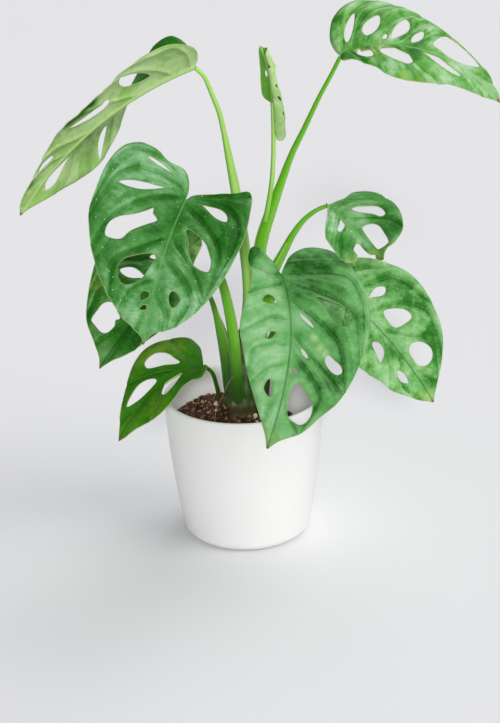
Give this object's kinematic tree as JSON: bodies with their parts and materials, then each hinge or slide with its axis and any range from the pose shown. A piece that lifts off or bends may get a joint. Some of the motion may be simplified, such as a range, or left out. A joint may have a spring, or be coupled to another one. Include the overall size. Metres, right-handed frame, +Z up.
{
  "type": "potted monstera adansonii",
  "caption": "Young monstera adansonii with windowed leaves on long sheathed stalks, in a plain white tapered pot.",
  "frame": {"origin": "centre of the pot's foot, on the surface that it stands on", "axes": "+Z up; -Y towards the front, where the largest leaves hang over the rim; +X to the right seen from the front"},
  "size_m": [0.2953, 0.1811, 0.3409],
  "materials": {
    "pot": "satin white",
    "soil": "loose dark bark mix",
    "stem": "smooth plant skin",
    "root": "dry bark",
    "stalk": "smooth plant skin",
    "blade": "satin leaf"
  },
  "bodies": {
    "root": {"pot": "pot", "soil": "soil", "stem": "stem", "aerial_root": "root", "stalk_top_left": "stalk", "stalk_top_right": "stalk", "stalk_new": "stalk", "stalk_front_left": "stalk", "stalk_front_right": "stalk", "stalk_mid_left": "stalk", "stalk_mid_right": "stalk", "stalk_low_left": "stalk", "stalk_small_right": "stalk", "leaf_top_left": "blade", "leaf_top_right": "blade", "leaf_new": "blade", "leaf_front_left": "blade", "leaf_front_right": "blade", "leaf_mid_left": "blade", "leaf_mid_right": "blade", "leaf_low_left": "blade", "leaf_small_right": "blade"}
  },
  "joints": []
}
